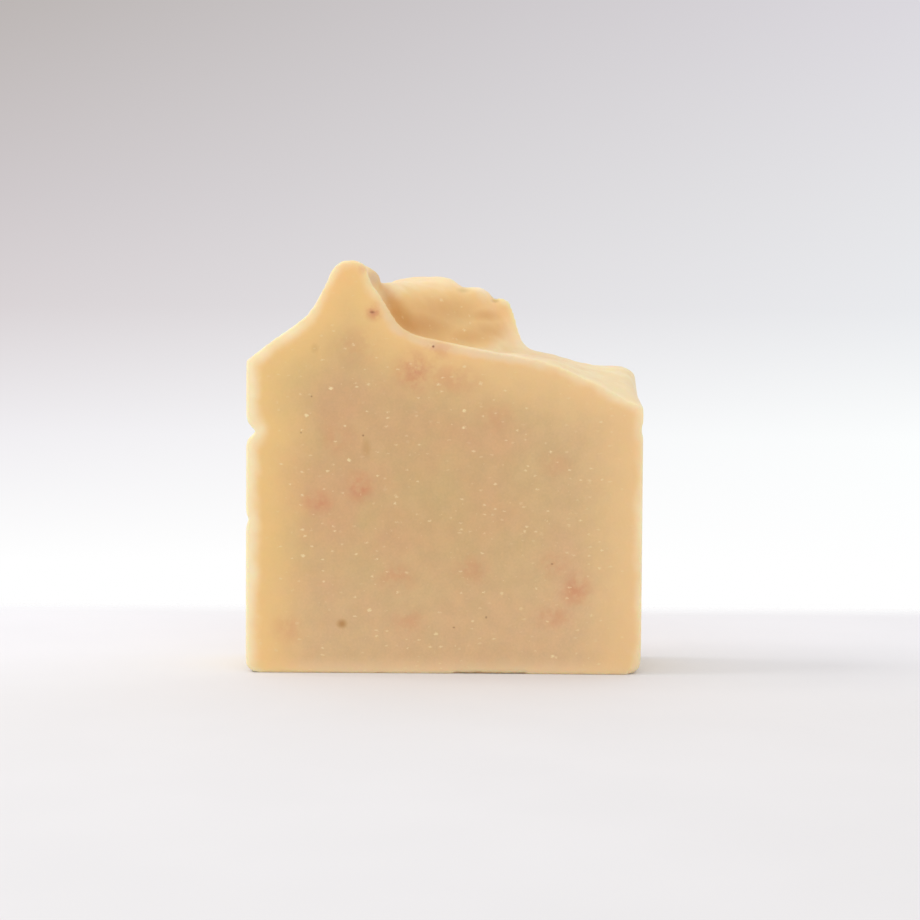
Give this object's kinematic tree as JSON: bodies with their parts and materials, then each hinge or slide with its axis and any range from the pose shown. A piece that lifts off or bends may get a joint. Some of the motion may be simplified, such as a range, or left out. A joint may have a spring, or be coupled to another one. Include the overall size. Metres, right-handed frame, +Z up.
{
  "type": "bar of soap",
  "caption": "Slice of handmade loaf soap standing on its mould side, with flat cut faces front and back and a spoon-worked top rising to a curling ridge.",
  "frame": {"origin": "centre of the flat base, on the plane the bar stands on", "axes": "+Z up from the base to the worked top, +X to the right along the bar's width seen from the front, +Y from the front cut face to the back cut face"},
  "size_m": [0.08, 0.024, 0.0833],
  "materials": {
    "cured_soap": "waxy satin, slightly translucent, warm cream tan with pale edges, faint pink blots and fine cream specks"
  },
  "bodies": {
    "root": {"soap_bar": "cured_soap"}
  },
  "joints": []
}
